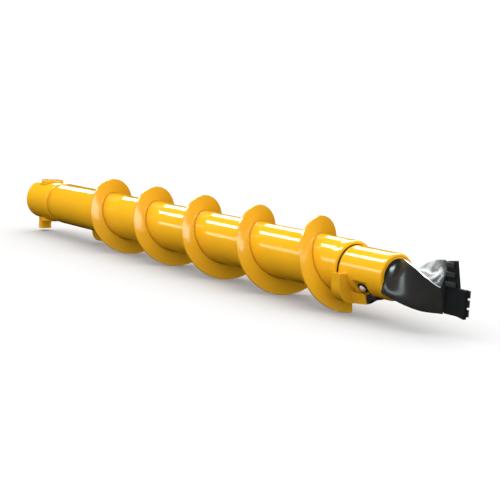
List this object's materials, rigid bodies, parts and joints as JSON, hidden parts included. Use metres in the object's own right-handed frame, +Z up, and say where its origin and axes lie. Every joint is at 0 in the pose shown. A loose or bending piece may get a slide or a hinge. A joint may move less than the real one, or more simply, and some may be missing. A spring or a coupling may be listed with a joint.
{
  "type": "screw auger with two-wing bit",
  "caption": "Steel screw on a tubular stem with a pinned drive socket at one end and a twisted two-wing bit held in a sleeve at the other",
  "frame": {"origin": "centre of the drive socket's seat plate, where the drive spigot rests", "axes": "+X along the screw from the drive socket to the bit, +Z up through the top pin boss, -Y the side with the pocket"},
  "size_m": [5.8567, 0.6732, 0.6732],
  "materials": {
    "yellow_paint": "gloss",
    "black_steel": "satin",
    "seal": "matt",
    "bright_steel": "satin"
  },
  "bodies": {
    "root": {"coupling_sleeve": "yellow_paint", "socket_seat": "yellow_paint", "coupling_neck": "yellow_paint", "pin_boss_top": "yellow_paint", "pin_boss_bottom": "yellow_paint", "coupling_lug": "yellow_paint", "stem_tube": "yellow_paint", "flight_turn_1": "yellow_paint", "flight_turn_2": "yellow_paint", "flight_turn_3": "yellow_paint", "flight_turn_4": "yellow_paint", "flight_turn_5": "yellow_paint", "stem_end_ring": "yellow_paint", "seal_ring": "seal", "front_sleeve": "yellow_paint", "stop_block": "yellow_paint", "lock_wedge": "black_steel", "lock_bolt": "bright_steel", "bit_shank": "black_steel", "bit_body": "black_steel", "upper_blade": "black_steel", "upper_tooth_1": "black_steel", "upper_tooth_2": "black_steel", "upper_tooth_3": "black_steel", "lower_blade": "black_steel", "lower_tooth_1": "black_steel", "lower_tooth_2": "black_steel", "lower_tooth_3": "black_steel"}
  },
  "joints": []
}
